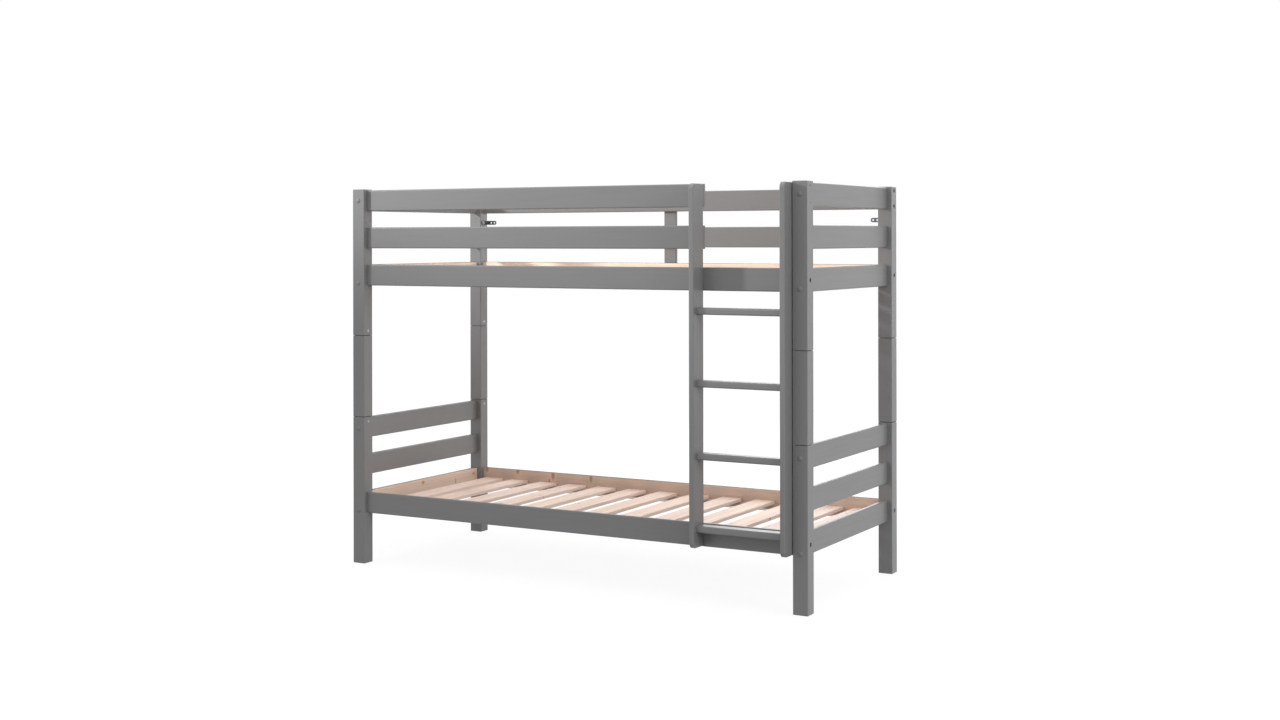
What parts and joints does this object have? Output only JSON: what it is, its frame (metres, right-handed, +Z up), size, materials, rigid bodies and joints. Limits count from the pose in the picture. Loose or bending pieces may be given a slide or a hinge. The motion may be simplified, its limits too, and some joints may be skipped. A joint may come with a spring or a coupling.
{
  "type": "bunk bed",
  "caption": "Pine bunk bed: stacked single beds on pinned extension posts, with guard rails, slatted bases, wall brackets and an upright ladder at the front right.",
  "frame": {"origin": "centre of the footprint, from the front of the ladder to the bolt caps on the rear posts, on the floor", "axes": "+X along the bed towards the ladder's end, +Y from the ladder side to the wall side, +Z up"},
  "size_m": [2.09, 1.058, 1.61],
  "materials": {
    "grey_paint": "satin grey paint on planed pine",
    "bare_pine": "bare planed pine",
    "zinc_steel": "bright zinc plating",
    "dark_steel": "blackened steel",
    "brass": "plain brass",
    "cap_plastic": "grey moulded plastic",
    "webbing": "woven cotton tape"
  },
  "bodies": {
    "lower_bed": {"lower_post_front_left": "grey_paint", "lower_post_front_right": "grey_paint", "lower_post_rear_left": "grey_paint", "lower_post_rear_right": "grey_paint", "lower_left_end_rail_bottom": "grey_paint", "lower_left_end_rail_middle": "grey_paint", "lower_left_end_rail_top": "grey_paint", "lower_right_end_rail_bottom": "grey_paint", "lower_right_end_rail_middle": "grey_paint", "lower_right_end_rail_top": "grey_paint", "lower_front_side_rail": "grey_paint", "lower_rear_side_rail": "grey_paint", "lower_cleats": "bare_pine", "lower_joint_pins": "zinc_steel", "lower_screws": "zinc_steel", "lower_bolts": "dark_steel", "lower_bolt_caps": "cap_plastic", "lower_inserts": "brass", "lower_dowels": "bare_pine"},
    "extension_posts": {"extension_post_front_left": "grey_paint", "extension_post_front_right": "grey_paint", "extension_post_rear_left": "grey_paint", "extension_post_rear_right": "grey_paint"},
    "upper_bed": {"upper_post_front_left": "grey_paint", "upper_post_front_right": "grey_paint", "upper_post_rear_left": "grey_paint", "upper_post_rear_right": "grey_paint", "upper_left_end_rail_bottom": "grey_paint", "upper_left_end_rail_middle": "grey_paint", "upper_left_end_rail_top": "grey_paint", "upper_right_end_rail_bottom": "grey_paint", "upper_right_end_rail_middle": "grey_paint", "upper_right_end_rail_top": "grey_paint", "upper_front_side_rail": "grey_paint", "upper_rear_side_rail": "grey_paint", "front_guard_rail_middle": "grey_paint", "front_guard_rail_top": "grey_paint", "rear_guard_rail_middle": "grey_paint", "rear_guard_rail_top": "grey_paint", "rear_guard_batten": "grey_paint", "ladder_stile_left": "grey_paint", "ladder_stile_right": "grey_paint", "ladder_rung_1": "grey_paint", "ladder_rung_2": "grey_paint", "ladder_rung_3": "grey_paint", "ladder_rung_4": "grey_paint", "upper_cleats": "bare_pine", "upper_joint_pins": "zinc_steel", "upper_screws": "zinc_steel", "upper_bolts": "dark_steel", "upper_bolt_caps": "cap_plastic", "upper_inserts": "brass", "upper_dowels": "bare_pine", "wall_bracket_left": "dark_steel", "wall_bracket_right": "dark_steel", "wall_bracket_washers": "zinc_steel"},
    "lower_slat_base": {"lower_slats": "bare_pine", "lower_slat_tapes": "webbing"},
    "upper_slat_base": {"upper_slats": "bare_pine", "upper_slat_tapes": "webbing"}
  },
  "joints": [
    {"name": "extension_lift", "type": "slide", "parent": "lower_bed", "child": "extension_posts", "axis": [0, 0, 1], "range_m": [0, 0.06]},
    {"name": "upper_bed_lift", "type": "slide", "parent": "extension_posts", "child": "upper_bed", "axis": [0, 0, 1], "range_m": [0, 0.06]},
    {"name": "lower_slats_lift", "type": "slide", "parent": "lower_bed", "child": "lower_slat_base", "axis": [0, 0, 1], "range_m": [0, 0.1]},
    {"name": "upper_slats_lift", "type": "slide", "parent": "upper_bed", "child": "upper_slat_base", "axis": [0, 0, 1], "range_m": [0, 0.1]}
  ]
}
